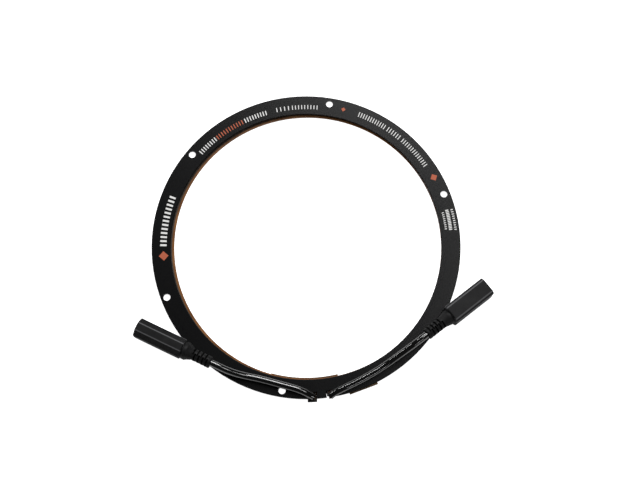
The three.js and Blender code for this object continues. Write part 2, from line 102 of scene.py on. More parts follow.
# Wires near a notch: distance along the rim from the notch, inset and rise, all in mm
SENSOR_NOTCH = 272.35
POWER_NOTCH = 279.4
WIRE_ROUTES = {
    "thermistor_wire_left": (
        (1.13, 1.45, 1.5), (1.5, 1.5, 1), (1.35, 1.7, 0.45), (0.6, 2.4, 0.06), (-0.6, 3.7, 0),
        (-1.96, 4.6, 0), (-3.67, 4.75, 0),
    ),
    "thermistor_wire_right": (
        (0.52, 0.2, 1.5), (1, 0, 1.05), (1.35, 0.15, 0.5), (1.5, 1, 0.05), (1.55, 2.6, 0),
        (1, 4.3, 0), (-0.4, 5.5, 0), (-2.21, 5.85, 0), (-3.67, 5.9, 0),
    ),
    "power_wire_positive": (
        (-0.6, -0.36, 1.33), (-0.83, -0.43, 0.9), (-0.85, -0.2, 0.35), (-0.8, 0.8, 0.03),
        (-0.45, 2.3, 0), (0.8, 3.6, 0), (2.6, 4.3, 0), (5.63, 4.7, 0),
    ),
    "power_wire_negative": (
        (-1.18, 0.72, 1.33), (-1.5, 0.76, 0.9), (-1.65, 1, 0.4), (-1.65, 1.7, 0.08),
        (-1.55, 2.6, 0), (-1.28, 3.97, 0),
    ),
}

# Printed marks: radius as a share of the ring's, start and end angle, count, length and width
# in mm, ink, turn in degrees
PRINTED_MARKS = (
    (0.923, 180.0, 160.0, 13, 3.0, 0.9, "white", 0),
    (0.923, 184.4, 184.4, 1, 3.2, 3.2, "orange", 45),
    (0.923, 138.0, 130.0, 8, 2.2, 0.5, "white", 0),
    (0.923, 128.8, 117.0, 11, 2.2, 0.5, "orange", 0),
    (0.923, 115.6, 106.6, 9, 2.2, 0.5, "white", 0),
    (0.925, 102.0, 97.2, 4, 2.0, 0.45, "white", 0),
    (0.925, 95.6, 85.6, 9, 2.0, 0.4, "white", 0),
    (0.941, 75.0, 75.0, 1, 1.5, 1.5, "orange", 45),
    (0.941, 68.4, 57.0, 12, 2.4, 0.4, "white", 0),
    (0.941, 55.4, 49.8, 6, 2.4, 0.4, "white", 0),
    (0.941, 48.0, 34.4, 14, 2.2, 0.4, "white", 0),
    (0.946, 28.5, 28.5, 1, 2.5, 2.5, "orange", 45),
    (0.974, 14.0, 6.2, 10, 1.1, 0.45, "white", 0),
    (0.942, 14.2, 6.4, 13, 1.5, 0.5, "white", 0),
    (0.912, 13.6, 6.8, 9, 1.0, 0.4, "white", 0),
)

# Housings, in mm: half their width, the bevel on the square one, the smallest ring of points,
# which closes a flat face at the axis, and the room round a lead's end
HALF_WIDTH = 4.65
SOCKET_BEVEL = 1.15
AXIS_RADIUS = 0.02
LEAD_CLEARANCE = 0.3

# Painted corner highlights: how far to each side the outline is compared, and the bulge in mm
# that counts as a full corner
CORNER_STEP = radians(3.5)
CORNER_BULGE = 0.06

# Slots of the strain reliefs: rows round each one, and how far the cutters stand out of it
SLOT_ROWS = 4
SLOT_OVERCUT = 0.5 * MM

# Ring plate: distance under which its points are merged, the angle under which its facets
# are joined, the angle from which its edges stay sharp, and how upright a flat face's normal is
MERGE_DISTANCE = 0.2e-6
JOIN_ANGLE = radians(0.5)
CREASE_DEGREES = 20
LEVEL_NORMAL = 0.99

# Camera, matched to the photo
CAMERA_PLACE = (4.18 * MM, -200.14 * MM, 966.88 * MM)
CAMERA_TILT = radians(11.594)
FOCAL_LENGTH_MM = 120
SENSOR_WIDTH_MM = 36
CLIP_START = 0.01
CLIP_END = 20

# Sweep under the object, and how strongly it shows in reflections
SWEEP_SIZE = 3
SWEEP_DROP = 0.05 * MM
SWEEP_REFLECTION = 0.2
ROOM_STRENGTH = 0.06

# Softboxes: name, place and size in metres, power in watts
SOFTBOXES = (
    ("strip_light", (-0.12, 0.85, 0.95), (1.1, 0.09), 9),
    ("left_strip", (-1.6, 0.85, 0.95), (0.9, 0.12), 7),
    ("key_light", (0.2, 0.62, 1.15), (0.4, 0.4), 4.4),
    ("side_light", (0.4, 0.12, 1.15), (0.3, 0.3), 1.9),
    ("edge_light", (0.75, -0.95, 0.85), (0.5, 0.1), 1.5),
)


def srgb(code):
    """A colour written as RRGGBB, as linear red, green, blue and alpha."""
    values = [int(code[i:i + 2], 16) / 255 for i in (0, 2, 4)]
    linear = [v / 12.92 if v <= 0.04045 else ((v + 0.055) / 1.055) ** 2.4 for v in values]
    return (*linear, 1.0)


def add_node(tree, kind, inputs=None, links=None, **settings):
    """Adds a node with its settings, input values and links by socket name or index."""
    node = tree.nodes.new(kind)
    for key, value in settings.items():
        setattr(node, key, value)
    for key, value in (inputs or {}).items():
        node.inputs[key].default_value = value
    for key, socket in (links or {}).items():
        tree.links.new(socket, node.inputs[key])
    return node


def compute(tree, operation, *values):
    """The result of a math node on sockets and numbers."""
    node = add_node(tree, "ShaderNodeMath", operation=operation)
    for i, value in enumerate(values):
        if isinstance(value, (int, float)):
            node.inputs[i].default_value = value
        else:
            tree.links.new(value, node.inputs[i])
    return node.outputs[0]


def start_material(name):
    """An empty material and its node tree."""
    material = bpy.data.materials.new(name)
    material.use_nodes = True
    material.node_tree.nodes.clear()
    return material, material.node_tree


def close_material(tree, shader):
    add_node(tree, "ShaderNodeOutputMaterial", links={"Surface": shader.outputs[0]})


def close_principled(tree, inputs, color=None, rough=None, bump=None):
    """Ends a material in a principled shader with these values, fed by the sockets given."""
    fed = {"Base Color": color, "Roughness": rough, "Normal": bump}
    links = {key: socket for key, socket in fed.items() if socket is not None}
    close_material(tree, add_node(tree, "ShaderNodeBsdfPrincipled", inputs, links))


def grain(tree, size, detail=4.0, roughness=0.6):
    """Noise on Object coordinates whose features are about size metres across."""
    place = add_node(tree, "ShaderNodeTexCoord")
    noise = add_node(
        tree, "ShaderNodeTexNoise",
        {"Scale": 1 / size, "Detail": detail, "Roughness": roughness},
        {"Vector": place.outputs["Object"]},
    )
    return noise.outputs["Fac"]


def spread(tree, source, low, high):
    """Maps a noise's middle range to low..high."""
    node = add_node(
        tree, "ShaderNodeMapRange",
        {"From Min": 0.3, "From Max": 0.7, "To Min": low, "To Max": high},
        {"Value": source},
    )
    return node.outputs[0]


def two_tone(tree, factor, dark, light):
    node = add_node(
        tree, "ShaderNodeMix", {"A": srgb(dark), "B": srgb(light)}, {"Factor": factor},
        data_type="RGBA",
    )
    return node.outputs["Result"]


def relief(tree, height, strength, distance):
    node = add_node(
        tree, "ShaderNodeBump", {"Strength": strength, "Distance": distance}, {"Height": height},
    )
    return node.outputs[0]


# Bead-blasted aluminium, anodised and dyed black: satin, with a fine even grain and a faint
# mottle. The grain is drawn at 0.35 mm, about three times the real one, so that it shows.
def anodised_aluminium(color):
    material, tree = start_material("Black anodised aluminium, bead blasted")
    fine = grain(tree, 0.35 * MM, 3.0)
    broad = grain(tree, 18 * MM, 2.0)
    close_principled(
        tree, {"Metallic": 0.0, "IOR": 1.5, "Specular IOR Level": 0.26},
        two_tone(tree, spread(tree, broad, 0.2, 0.8), "030304", color),
        spread(tree, fine, 0.22, 0.27), relief(tree, fine, 0.12, 0.02 * MM),
    )
    return material


# Moulded PVC with a spark-eroded finish: matte and evenly pitted, with a painted highlight
# that lightens the corners of the outline.
def moulded_pvc():
    material, tree = start_material("Black moulded PVC, eroded texture")
    pits = grain(tree, 0.3 * MM, 4.0, 0.7)
    broad = grain(tree, 6 * MM, 3.0)
    shade = two_tone(tree, spread(tree, broad, 0.0, 1.0), "0a0a0b", "1b1b1c")
    # Painted highlight: the corners of the outline are mixed towards a light grey
    corner_highlight = add_node(tree, "ShaderNodeAttribute", attribute_name="painted_corner_highlight")
    highlighted_corners = add_node(
        tree, "ShaderNodeMix", {"B": srgb("5a5a5c")}, {"Factor": corner_highlight.outputs["Fac"], "A": shade},
        data_type="RGBA",
    )
    close_principled(
        tree, {"IOR": 1.53, "Specular IOR Level": 0.14}, highlighted_corners.outputs["Result"],
        spread(tree, pits, 0.42, 0.6), relief(tree, pits, 0.35, 0.03 * MM),
    )
    return material


# The same PVC inside the slots: dull, with painted shade: its colour is darkened to stand in
# for the little light that gets in.
def painted_slot_shade():
    material, tree = start_material("Black moulded PVC, painted shade in the slots")
    pits = grain(tree, 0.3 * MM, 4.0, 0.7)
    # Painted shade: the near-black base colour stands in for the shade inside the slots
    close_principled(
        tree, {"Base Color": srgb("030303"), "IOR": 1.53, "Specular IOR Level": 0.1},
        rough=spread(tree, pits, 0.7, 0.85),
    )
    return material


# Extruded flexible PVC jacket: deep black and glossy, with an extrusion's slight waviness.
def cable_jacket():
    material, tree = start_material("Black PVC cable jacket, glossy extrusion")
    waves = grain(tree, 2.2 * MM, 2.0)
    fine = grain(tree, 0.4 * MM, 2.0)
    close_principled(
        tree,
        {"Base Color": srgb("020202"), "IOR": 1.52, "Coat Weight": 0.8, "Coat Roughness": 0.05},
        rough=spread(tree, fine, 0.07, 0.13), bump=relief(tree, waves, 0.05, 0.06 * MM),
    )
    return material


# Polyimide film, cast and laminated: amber to brown and smooth, a little uneven where the
# glue lies under it.
def polyimide_film(name, thin, thick):
    material, tree = start_material(name)
    mottle = grain(tree, 9 * MM, 2.0, 0.4)
    close_principled(
        tree, {"IOR": 1.7, "Specular IOR Level": 0.25},
        two_tone(tree, spread(tree, mottle, 0, 1), thick, thin),
        spread(tree, mottle, 0.24, 0.4), relief(tree, mottle, 0.1, 0.03 * MM),
    )
    return material


# Acrylic transfer adhesive: grey-brown, dull and slightly uneven where it squeezed out.
def transfer_adhesive():
    material, tree = start_material("Grey-brown acrylic transfer adhesive")
    lumps = grain(tree, 0.8 * MM, 4.0)
    close_principled(
        tree, {"Roughness": 0.75, "IOR": 1.47},
        two_tone(tree, spread(tree, lumps, 0, 1), "3a332d", "5a5047"),
        bump=relief(tree, lumps, 0.5, 0.08 * MM),
    )
    return material


def small_part(name, dark, light, low, high, grit, strength, inputs):
    """A finish between two close tones, with marks about grit metres across."""
    material, tree = start_material(name)
    marks = grain(tree, grit, 3.0)
    close_principled(
        tree, inputs, two_tone(tree, spread(tree, marks, 0, 1), dark, light),
        spread(tree, marks, low, high), relief(tree, marks, strength, 0.02 * MM),
    )
    return material


# Metals: etched copper-nickel foil, nickel-plated brass and solder, with fine handling marks.
def plain_metal(name, dark, light, low, high, grit):
    return small_part(name, dark, light, low, high, grit, 0.2, {"Metallic": 1.0})


# Small plastic, ink and resin parts: a coloured base, a soft gloss and a fine unevenness.
def coloured_plastic(name, dark, light, low, high, grit, index=1.5):
    return small_part(name, dark, light, low, high, grit, 0.25, {"IOR": index})


# Paper-white sweep: it glows white for the camera, so that no shadow shows on it, and more
# dimly in reflections.
def studio_sweep():
    material, tree = start_material("White studio sweep")
    path = add_node(tree, "ShaderNodeLightPath")
    dim = compute(tree, "MULTIPLY", path.outputs["Is Glossy Ray"], SWEEP_REFLECTION)
    lift = compute(tree, "MAXIMUM", path.outputs["Is Camera Ray"], dim)
    paper = add_node(tree, "ShaderNodeBsdfDiffuse", {"Color": (0.86, 0.86, 0.86, 1)})
    glow = add_node(tree, "ShaderNodeEmission", {"Color": (1, 1, 1, 1)}, {"Strength": lift})
    both = add_node(tree, "ShaderNodeAddShader", links={0: paper.outputs[0], 1: glow.outputs[0]})
    close_material(tree, both)
    return material


def rim_points(route, rest):
    """The points of a rim route, in metres."""
    points = []
    for angle, inset, rise in route:
        radius = RING_RADIUS - inset * MM
        turn = radians(angle)
        points.append(Vector((radius * cos(turn), radius * sin(turn), rest + rise * MM)))
    return points


def notch_points(route, notch, rest):
    """The points of a wire near a notch, in metres."""
    return rim_points(
        [(notch + degrees(x * MM / RING_RADIUS), inset, rise) for x, inset, rise in route], rest,
    )


def smooth_path(points, steps=8):
    """A centripetal spline through the points."""
    path = []
    for i in range(len(points) - 1):
        b, c = points[i], points[i + 1]
        a = points[i - 1] if i else 2 * b - c
        d = points[i + 2] if i + 2 < len(points) else 2 * c - b
        ab, bc, cd = ((q - p).length ** 0.5 for p, q in ((a, b), (b, c), (c, d)))
        leave = ((b - a) / ab - (c - a) / (ab + bc) + (c - b) / bc) * bc
        arrive = ((c - b) / bc - (d - b) / (bc + cd) + (d - c) / cd) * bc
        for k in range(steps):
            t = k / steps
            path.append(
                b + leave * t + (3 * (c - b) - 2 * leave - arrive) * t ** 2
                + (2 * (b - c) + leave + arrive) * t ** 3
            )
    path.append(points[-1].copy())
    return path


def place_mesh(name, mesh, material=None):
    """A finished piece that rides on the body; without a material it keeps its own."""
    obj = bpy.data.objects.new(name, mesh)
    bpy.context.scene.collection.objects.link(obj)
    if material:
        mesh.materials.clear()
        mesh.materials.append(material)
    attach(obj, "root")
    return obj


def soften(mesh, angle=35):
    """Smooth shading, with an edge where faces meet at more than the angle."""
    mesh.shade_smooth()
    mesh.set_sharp_from_angle(angle=radians(angle))


def finished_mesh(work, name):
    """The plain mesh of a working mesh, which is freed."""
    mesh = bpy.data.meshes.new(name)
    work.to_mesh(mesh)
    work.free()
    return mesh


def skin_mesh(name, rings, endless=False):
    """Skins equal rings of points in order, and caps both ends or joins the last to the first."""
    shell = bmesh.new()
    loops = [[shell.verts.new(point) for point in ring] for ring in rings]
    pairs = list(zip(loops, loops[1:]))
    if endless:
        pairs.append((loops[-1], loops[0]))
    for first, second in pairs:
        for i in range(len(first)):
            j = (i + 1) % len(first)
            shell.faces.new((first[i], first[j], second[j], second[i]))
    if not endless:
        shell.faces.new(list(reversed(loops[0])))
        shell.faces.new(loops[-1])
    bmesh.ops.recalc_face_normals(shell, faces=shell.faces)
    return finished_mesh(shell, name)


def tube_mesh(name, path, radius, sides=20):
    """A round tube along a path, with frames carried from point to point."""
    circle = [2 * pi * k / sides for k in range(sides)]
    rings = []
    side = None
    for i, point in enumerate(path):
        ahead = path[min(i + 1, len(path) - 1)] - path[max(i - 1, 0)]
        ahead.normalize()
        if side is None:
            side = ahead.cross(Vector((0, 0, 1))).normalized()
        side = (side - ahead * side.dot(ahead)).normalized()
        up = side.cross(ahead)
        rings.append([point + radius * (cos(turn) * side + sin(turn) * up) for turn in circle])
    mesh = skin_mesh(name, rings)
    soften(mesh, 60)
    return mesh


def turned_mesh(name, profile, matrix, sides=48):
    """A closed profile of (along, radius) in metres, turned round the X axis and put in place."""
    circle = [2 * pi * k / sides for k in range(sides)]
    rings = [
        [matrix @ Vector((along, radius * cos(turn), radius * sin(turn))) for turn in circle]
        for along, radius in profile
    ]
    mesh = skin_mesh(name, rings, endless=True)
    soften(mesh)
    return mesh


def metres(profile):
    return [(x * MM, r * MM) for x, r in profile]


def sleeve_profile(start, length, inner, outer, edge=0.08):
    """A plain tube with broken edges, in mm, as a profile in metres."""
    end = start + length
    return metres((
        (start + edge, inner), (start, inner + edge), (start, outer - edge), (start + edge, outer),
        (end - edge, outer), (end, outer - edge), (end, inner + edge), (end - edge, inner),
    ))


def connector_matrix(seat, total_length, heading):
    """Places a connector as its lead carries it, with its far lower edge on the table."""
    half_height = HALF_WIDTH * MM
    seat_x = total_length - LEAD_SEAT_DEPTH + LEAD_SEAT_GAP
    reach = hypot(seat_x, half_height)
    tilt = asin(seat.z / reach) - atan2(half_height, seat_x)
    turn = Matrix.Rotation(radians(heading), 4, "Z") @ Matrix.Rotation(-tilt, 4, "Y")
    return Matrix.Translation(seat - turn @ Vector((seat_x, 0, 0))) @ turn


def flat_sided(faces, sharpness=70):
    """A housing's outline, from (angle, distance) of its flats, with slightly round corners."""
    def radius(angle):
        total = 0.0
        for direction, distance in faces:
            along = cos(angle - radians(direction))
            if along > 0:
                total += (along / distance) ** sharpness
        return total ** (-1 / sharpness)
    return radius


def housing_stations(outline, length, bore, depth, edge):
    """The cavity, the rim and the flat sides up to the shoulder, as stations in mm."""
    return [
        (depth, None, AXIS_RADIUS), (depth, None, bore - 0.1), (depth - 0.1, None, bore),
        (0.5, None, bore), (0.15, None, bore + 0.03), (0, None, bore + 0.2),
        (0, outline, -edge), (0.08, outline, -edge * 0.62), (0.22, outline, -edge * 0.2),
        (edge, outline, 0), (edge + 0.3, outline, 0), (length / 2, outline, 0),
        (length - edge - 0.3, outline, 0), (length - edge, outline, 0),
        (length - 0.2, outline, -edge * 0.2), (length - 0.07, outline, -edge * 0.6),
        (length, outline, -edge),
    ]


def boot_stations(start, end, radius, lead):
    """The strain relief before its slots are cut, and the seat of the lead, in mm."""
    seat = end - LEAD_SEAT_DEPTH / MM
    return [
        (start + 0.02, None, radius), (start + 0.3, None, radius), (end - 0.25, None, radius),
        (end - 0.08, None, radius - 0.07), (end, None, radius - 0.25), (end, None, lead + 0.1),
        (end - 0.1, None, lead), (seat, None, lead), (seat, None, AXIS_RADIUS),
    ]


def housing_mesh(name, stations, sides=128):
    """Skins a housing from stations of (x, outline, round radius or inset), in mm.

    Its points carry a painted highlight as an attribute, high on the corners of the outline."""
    rings = []
    painted_corner_highlight = []
    for x, outline, radius in stations:
        ring = []
        for k in range(sides):
            angle = 2 * pi * (k + 0.5) / sides
            reach = (outline(angle) + radius if outline else radius) * MM
            ring.append(Vector((x * MM, reach * cos(angle), reach * sin(angle))))
            bulge = 0.0
            if outline:
                bulge = (
                    2 * outline(angle) - outline(angle - CORNER_STEP)
                    - outline(angle + CORNER_STEP)
                )
            painted_corner_highlight.append(min(1.0, max(0.0, bulge / CORNER_BULGE)))
        rings.append(ring)
    mesh = skin_mesh(name, rings)
    # Painted highlight, stored on the points for the colour of the PVC
    corner_highlight = mesh.attributes.new("painted_corner_highlight", "FLOAT", "POINT")
    corner_highlight.data.foreach_set("value", painted_corner_highlight)
    return mesh


# Connectors, in mm. A collar is given as (distance past the shoulder, radius), and ends where
# the strain relief begins. The contacts are profiles in metres.
CONNECTORS = (
    {
        "piece": "sensor_connector_shell", "node": "thermistor_jack",
        "route": SENSOR_LEAD_ROUTE, "heading": -26.3,
        "outline": flat_sided([(45 * k, HALF_WIDTH) for k in range(8)]),
        "length": 24.0, "bore": 3.1, "depth": 15.0, "edge": 0.4,
        "collar": (
            (0.02, 3.95), (0.25, 3.9), (0.45, 3.95), (0.6, 4.2), (0.75, 4.3), (2.1, 4.3),
            (2.35, 4.22), (2.6, 4.0), (3.4, 3.55), (4.4, 3.15), (4.9, 3.0), (5.0, 2.9),
        ),
        "contacts": (
            ("jack_sleeve_bushing", sleeve_profile(0, 3, 1.8, 2.8), "contact_metal"),
            ("jack_insulator", sleeve_profile(3.3, 9, 1.8, 2.8), "insulator"),
            ("jack_tip_contact", sleeve_profile(12.6, 2, 1.2, 2.8), "contact_metal"),
        ),
    },
    {
        "piece": "power_connector_shell", "node": "power_socket",
        "route": POWER_LEAD_ROUTE, "heading": 218.9,
        "outline": flat_sided(
            [(90 * k, HALF_WIDTH) for k in range(4)]
            + [(45 + 90 * k, (2 * HALF_WIDTH - SOCKET_BEVEL) / 2 ** 0.5) for k in range(4)]
        ),
        "length": 22.8, "bore": 3.5, "depth": 14.0, "edge": 0.45,
        "collar": (
            (0.02, 3.7), (0.9, 3.7), (1.25, 3.66), (2.2, 3.4), (3.4, 3.06), (4.3, 2.86),
            (4.5, 2.8),
        ),
        "contacts": (
            ("socket_shell", sleeve_profile(0.3, 13.4, 2.85, 3.2), "contact_metal"),
            ("socket_insulator", sleeve_profile(9.7, 4, 1.35, 2.55), "insulator"),
            ("socket_pin", metres((
                (1.2, 0.02), (1.2, 0.62), (1.32, 0.74), (1.75, 1.02), (1.9, 1.05), (13.7, 1.05),
                (13.7, 0.02),
            )), "contact_metal"),
        ),
    },
)


def node_group(name, sockets):
    """A geometry node tree that makes a geometry from named inputs, and those inputs."""
    tree = bpy.data.node_groups.new(name, "GeometryNodeTree")
    for label, kind, default in sockets:
        socket = tree.interface.new_socket(
            name=label, in_out="INPUT", socket_type="NodeSocket" + kind,
        )
        if default is not None:
            socket.default_value = default
    tree.interface.new_socket(name="Geometry", in_out="OUTPUT", socket_type="NodeSocketGeometry")
    return tree, add_node(tree, "NodeGroupInput").outputs


def set_out(tree, count, spot, piece, turn, material):
    """Ends a geometry node tree in a number of copies of a piece, placed, turned and coloured."""
    points = add_node(tree, "GeometryNodeMeshLine", {"Offset": (0, 0, 0)}, {"Count": count})
    placed = add_node(
        tree, "GeometryNodeSetPosition",
        links={"Geometry": points.outputs[0], "Position": spot.outputs[0]},
    )
    copies = add_node(
        tree, "GeometryNodeInstanceOnPoints", links={
            "Points": placed.outputs[0], "Instance": piece.outputs[0], "Rotation": turn.outputs[0],
        },
    )
    real = add_node(
        tree, "GeometryNodeRealizeInstances", links={"Geometry": copies.outputs[0]},
    )
    inked = add_node(
        tree, "GeometryNodeSetMaterial",
        links={"Geometry": real.outputs[0], "Material": material},
    )
    add_node(tree, "NodeGroupOutput", links={0: inked.outputs[0]})


def marks_tree():
    """Flat marks set out at equal steps along an arc."""
    tree, given = node_group("Marks along an arc", (
        ("Radius", "Float", 67 * MM), ("Start Angle", "Float", 0.0), ("Sweep", "Float", 0.3),
        ("Count", "Int", 5), ("Length", "Float", 2 * MM), ("Width", "Float", 0.5 * MM),
        ("Thickness", "Float", 0.02 * MM), ("Height", "Float", 0.0), ("Turn", "Float", 0.0),
        ("Ink", "Material", None),
    ))
    index = add_node(tree, "GeometryNodeInputIndex").outputs[0]
    last = compute(tree, "SUBTRACT", given["Count"], 1)
    share = compute(tree, "DIVIDE", index, compute(tree, "MAXIMUM", last, 1))
    angle = compute(tree, "MULTIPLY_ADD", share, given["Sweep"], given["Start Angle"])
    spot = add_node(tree, "ShaderNodeCombineXYZ", links={
        "X": compute(tree, "MULTIPLY", compute(tree, "COSINE", angle), given["Radius"]),
        "Y": compute(tree, "MULTIPLY", compute(tree, "SINE", angle), given["Radius"]),
        "Z": given["Height"],
    })
    facing = compute(tree, "ADD", angle, given["Turn"])
    turn = add_node(tree, "ShaderNodeCombineXYZ", links={"Z": facing})
    size = add_node(tree, "ShaderNodeCombineXYZ", links={
        "X": given["Length"], "Y": given["Width"], "Z": given["Thickness"],
    })
    mark = add_node(tree, "GeometryNodeMeshCube", links={"Size": size.outputs[0]})
    set_out(tree, given["Count"], spot, mark, turn, given["Ink"])
    return tree


def slots_tree():
    """Curved cutters for the slots of a strain relief, in rows round the X axis."""
    tree, given = node_group("Strain relief slots", (
        ("Rows", "Int", 4), ("Slots per Row", "Int", 4), ("Pitch", "Float", 2 * MM),
        ("Slot Width", "Float", 0.8 * MM), ("Inner Radius", "Float", 2.2 * MM),
        ("Outer Radius", "Float", 3.5 * MM), ("Slot Angle", "Float", 2.1),
        ("Material", "Material", None),
    ))
    inner, outer, angle = given["Inner Radius"], given["Outer Radius"], given["Slot Angle"]
    middle = compute(tree, "MULTIPLY", compute(tree, "ADD", inner, outer), 0.5)
    start = compute(tree, "MULTIPLY", angle, -0.5)
    arc = add_node(
        tree, "GeometryNodeCurveArc", {"Resolution": 21},
        {"Radius": middle, "Start Angle": start, "Sweep Angle": angle},
    )
    section = add_node(tree, "GeometryNodeCurvePrimitiveQuadrilateral", links={
        "Width": compute(tree, "SUBTRACT", outer, inner), "Height": given["Slot Width"],
    })
    bar = add_node(
        tree, "GeometryNodeCurveToMesh", {"Fill Caps": True},
        {"Curve": arc.outputs[0], "Profile Curve": section.outputs[0]},
    )
    upright = add_node(
        tree, "GeometryNodeTransform", {"Rotation": (0, pi / 2, 0)}, {"Geometry": bar.outputs[0]},
    )
    index = add_node(tree, "GeometryNodeInputIndex").outputs[0]
    row = compute(tree, "MODULO", index, given["Rows"])
    turn_share = compute(tree, "DIVIDE", row, given["Rows"])
    turn = compute(tree, "MULTIPLY_ADD", turn_share, 2 * pi, pi / 4)
    step = compute(tree, "FLOOR", compute(tree, "DIVIDE", index, given["Rows"]))
    # Every other row is moved by half a pitch
    stagger = compute(tree, "MULTIPLY_ADD", compute(tree, "MODULO", row, 2), -0.5, 0.5)
    shift = compute(tree, "MULTIPLY", compute(tree, "ADD", step, stagger), given["Pitch"])
    set_out(
        tree, compute(tree, "MULTIPLY", given["Rows"], given["Slots per Row"]),
        add_node(tree, "ShaderNodeCombineXYZ", links={"X": shift}), upright,
        add_node(tree, "ShaderNodeCombineXYZ", links={"X": turn}), given["Material"],
    )
    return tree


def linked_object(name, mesh):
    obj = bpy.data.objects.new(name, mesh)
    bpy.context.scene.collection.objects.link(obj)
    return obj


def applied_mesh(obj):
    """The plain mesh of an object with its modifiers applied; the object is removed."""
    bpy.context.view_layer.update()
    evaluated = obj.evaluated_get(bpy.context.evaluated_depsgraph_get())
    mesh = bpy.data.meshes.new_from_object(evaluated)
    obj.modifiers.clear()
    bpy.data.objects.remove(obj)
    return mesh


def grown_mesh(tree, values):
    """The plain mesh that a node tree makes from its named inputs."""
    holder = linked_object("holder", bpy.data.meshes.new("holder"))
    modifier = holder.modifiers.new("nodes", "NODES")
    modifier.node_group = tree
    for item in tree.interface.items_tree:
        if item.in_out == "INPUT":
            modifier[item.identifier] = values[item.name]
    return applied_mesh(holder)


def cut_mesh(mesh, cutter_mesh):
    """Cuts one closed mesh out of another; the cut faces keep the cutter's material."""
    body = linked_object("body", mesh)
    cutter = linked_object("cutter", cutter_mesh)
    modifier = body.modifiers.new("cut", "BOOLEAN")
    modifier.object = cutter
    modifier.operation = "DIFFERENCE"
    modifier.solver = "EXACT"
    modifier.material_mode = "TRANSFER"
    result = applied_mesh(body)
    bpy.data.objects.remove(cutter)
    return result


class DewRingSizes(bpy.types.PropertyGroup):
    """Sizes of the ring's dressing"""
    lead_diameter: bpy.props.FloatProperty(
        name="Lead Diameter", description="Outer diameter of both leads", default=3.3 * MM,
        unit="LENGTH", min=2 * MM, max=5 * MM,
    )
    ink_thickness: bpy.props.FloatProperty(
        name="Ink Thickness", description="How far the printed marks stand off the ring",
        default=0.03 * MM, unit="LENGTH", min=0.01 * MM, max=0.1 * MM,
    )
    ring_color: bpy.props.StringProperty(
        name="Ring Colour", description="Colour of the dyed anodising, as RRGGBB",
        default="070708",
    )
    white_ink: bpy.props.StringProperty(
        name="White Ink", description="Colour of the white print, as RRGGBB", default="e6e6e4",
    )
    orange_ink: bpy.props.StringProperty(
        name="Orange Ink", description="Colour of the orange print, as RRGGBB", default="b4512c",
    )


class DewRingBoot(bpy.types.PropertyGroup):
    """Sizes of the slotted strain reliefs"""
    radius: bpy.props.FloatProperty(
        name="Radius", description="Outer radius of the strain relief", default=2.8 * MM,
        unit="LENGTH",
    )
    length: bpy.props.FloatProperty(
        name="Length", description="Length of the slotted part", default=9.4 * MM, unit="LENGTH",
    )
    slot_width: bpy.props.FloatProperty(
        name="Slot Width", description="Width of one slot along the lead", default=0.85 * MM,
        unit="LENGTH",
    )
    slot_pitch: bpy.props.FloatProperty(
        name="Slot Pitch", description="Distance between slots of one row", default=2.05 * MM,
        unit="LENGTH",
    )
    slot_depth: bpy.props.FloatProperty(
        name="Slot Depth", description="How deep the slots are", default=0.95 * MM, unit="LENGTH",
    )
    slot_angle: bpy.props.FloatProperty(
        name="Slot Angle", description="How far round a slot reaches", default=radians(110),
        subtype="ANGLE",
    )
    slot_margin: bpy.props.FloatProperty(
        name="Slot Margin", description="Distance from the collar to the first slot",
        default=0.2 * MM, unit="LENGTH",
    )
    slots: bpy.props.IntProperty(
        name="Slots", description="Slots in each of the four rows", default=4, min=1, max=8,
    )


def lead_rest():
    """The height of a lead's middle where it lies on the ring."""
    return RING_TOP + LEAD_SEAT_GAP + bpy.context.scene.dew_ring_sizes.lead_diameter / 2


class DEWRING_OT_stage(bpy.types.Operator):
    """Camera, paper sweep and soft studio light"""
    bl_idname = "dewring.stage"
    bl_label = "Stage and Camera"

    def execute(self, context):
        scene = context.scene
        lens = bpy.data.cameras.new("camera")
        lens.lens = FOCAL_LENGTH_MM
        lens.sensor_width = SENSOR_WIDTH_MM
        lens.clip_start = CLIP_START
        lens.clip_end = CLIP_END
        camera = linked_object("camera", lens)
        camera.location = CAMERA_PLACE
        camera.rotation_euler = (CAMERA_TILT, 0, 0)
        scene.camera = camera

        sheet = bmesh.new()
        bmesh.ops.create_grid(sheet, x_segments=2, y_segments=2, size=SWEEP_SIZE)
        mesh = finished_mesh(sheet, "sweep")
        mesh.transform(Matrix.Translation((0, 0, -SWEEP_DROP)))
        mesh.materials.append(studio_sweep())
        floor = linked_object("sweep", mesh)

        world = bpy.data.worlds.new("studio")
        world.use_nodes = True
        scene.world = world
        back = world.node_tree.nodes["Background"]
        back.inputs["Color"].default_value = (1, 1, 1, 1)
        back.inputs["Strength"].default_value = ROOM_STRENGTH

        for softbox in SOFTBOXES:
            self.softbox(*softbox)
        scene.view_settings.view_transform = "Standard"
        return {"FINISHED"}

    def softbox(self, name, place, size, power):
        data = bpy.data.lights.new(name, "AREA")
        data.shape = "RECTANGLE"
        data.size, data.size_y = size
        data.energy = power
        lamp = linked_object(name, data)
        lamp.location = place
        lamp.rotation_euler = Vector(place).to_track_quat("Z", "Y").to_euler()


